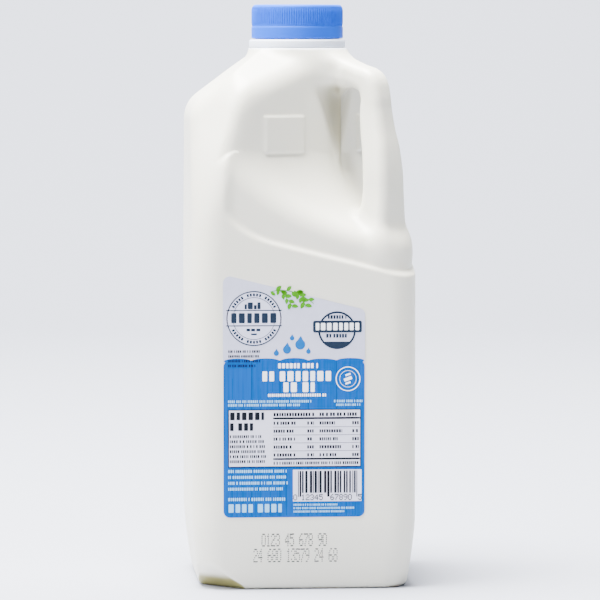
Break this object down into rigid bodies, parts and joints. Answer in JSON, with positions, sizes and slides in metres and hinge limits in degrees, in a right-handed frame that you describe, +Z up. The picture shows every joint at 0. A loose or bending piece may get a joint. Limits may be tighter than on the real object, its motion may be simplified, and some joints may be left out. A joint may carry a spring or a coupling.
{
  "type": "plastic milk jug",
  "caption": "Square half-gallon blow-moulded plastic milk jug with a moulded corner handle, a ribbed screw cap with its tamper band, and a paper front label.",
  "frame": {"origin": "centre of the base, on the floor", "axes": "+Z up along the neck; -Y out of the labelled face; the handle is on the corner between +X and -Y"},
  "size_m": [0.099, 0.0992, 0.2571],
  "materials": {
    "jug": "translucent natural polyethylene, white with the milk behind it",
    "cap": "moulded plastic, satin light blue",
    "label": "printed label, satin"
  },
  "bodies": {
    "root": {"jug": "jug", "cap": "cap", "label": "label"}
  },
  "joints": []
}
